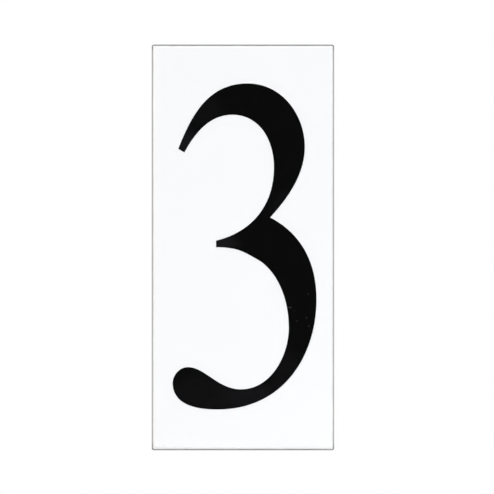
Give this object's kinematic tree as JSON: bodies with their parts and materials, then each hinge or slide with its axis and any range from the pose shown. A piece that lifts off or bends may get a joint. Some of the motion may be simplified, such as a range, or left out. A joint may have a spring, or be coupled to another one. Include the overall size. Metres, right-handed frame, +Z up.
{
  "type": "house number plaque",
  "caption": "Upright glazed ceramic tile with a black enamel numeral fired onto its face and a lattice of shallow keying recesses in its back.",
  "frame": {"origin": "middle of the back, on the plane that lies on the wall", "axes": "+Z up the plaque as it hangs, -Y out of its face towards the reader, +X to the reader's right"},
  "size_m": [0.0572, 0.0065, 0.127],
  "materials": {
    "white_glaze": "gloss white glaze over a pressed white body, unglazed on the back",
    "black_enamel": "gloss black enamel fired onto the glaze"
  },
  "bodies": {
    "root": {"ceramic_tile": "white_glaze", "enamel_numeral": "black_enamel"}
  },
  "joints": []
}
